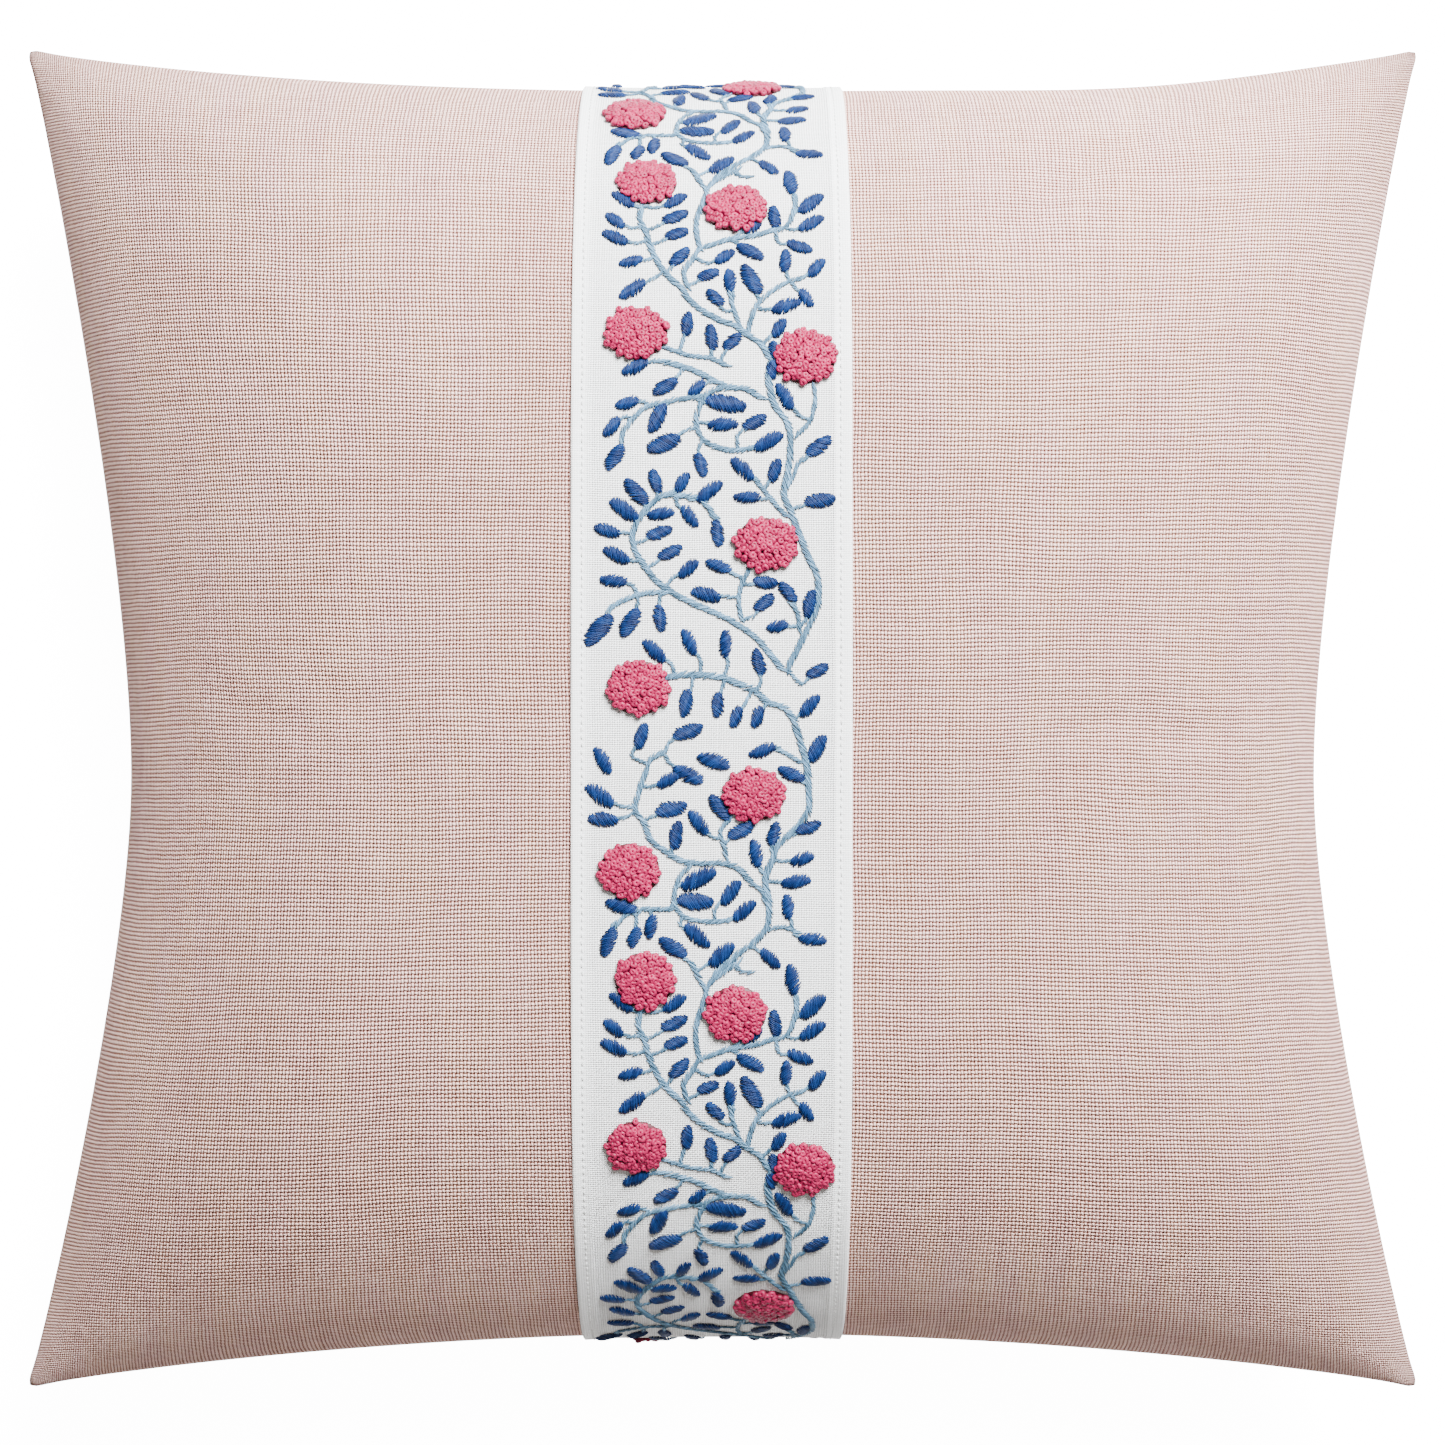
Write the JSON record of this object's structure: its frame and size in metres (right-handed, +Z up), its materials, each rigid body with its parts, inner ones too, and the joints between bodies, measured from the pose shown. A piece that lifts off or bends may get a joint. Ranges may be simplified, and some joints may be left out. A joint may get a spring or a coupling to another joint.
{
  "type": "ring bearer pillow",
  "caption": "Square knife-edge linen cushion with an embroidered band sewn down its front, a hidden zip along its bottom seam and a separate stuffed insert.",
  "frame": {"origin": "the middle of the flat patch of the back panel that the cushion rests on, under the middle of its outline", "axes": "+X to the right across the front with the band running up and down, +Y towards the top edge, +Z up through the thickness, from the back panel to the embroidered front"},
  "size_m": [0.505, 0.486, 0.1377],
  "materials": {
    "pink_linen": "matte",
    "white_linen": "matte",
    "white_thread": "matte",
    "flower_thread": "satin",
    "leaf_thread": "satin",
    "stem_thread": "satin",
    "pink_thread": "matte",
    "ticking": "matte",
    "stuffing": "matte",
    "zip_coil": "satin",
    "zip_tape": "matte",
    "zip_metal": "satin"
  },
  "bodies": {
    "cushion": {"front_panel": "pink_linen", "back_panel": "pink_linen", "band": "white_linen", "band_topstitch_left": "white_thread", "band_topstitch_right": "white_thread", "flower_01": "flower_thread", "flower_02": "flower_thread", "flower_03": "flower_thread", "flower_04": "flower_thread", "flower_05": "flower_thread", "flower_06": "flower_thread", "flower_07": "flower_thread", "flower_08": "flower_thread", "flower_09": "flower_thread", "flower_10": "flower_thread", "flower_11": "flower_thread", "flower_12": "flower_thread", "flower_13": "flower_thread", "flower_14": "flower_thread", "flower_15": "flower_thread", "flower_16": "flower_thread", "seam_thread": "pink_thread", "insert_ticking_front": "ticking", "insert_ticking_back": "ticking", "insert_stuffing": "stuffing", "zip_coil_front": "zip_coil", "zip_coil_back": "zip_coil", "zip_tape_front": "zip_tape", "zip_tape_back": "zip_tape", "zip_stop_closed": "zip_metal", "zip_stop_open": "zip_metal"},
    "slider": {"zip_slider": "zip_metal"},
    "pull": {"zip_pull": "zip_metal"}
  },
  "joints": [
    {"name": "zip_travel", "type": "hinge", "parent": "cushion", "child": "slider", "pos_m": [0, -1.82641, 0.055], "axis": [0, 0, 1], "range_deg": [0, 13.59]},
    {"name": "pull_swing", "type": "hinge", "parent": "slider", "child": "pull", "pos_m": [0.18985, -0.23347, 0.055], "axis": [0, 0, 1], "range_deg": [0, 170]}
  ]
}
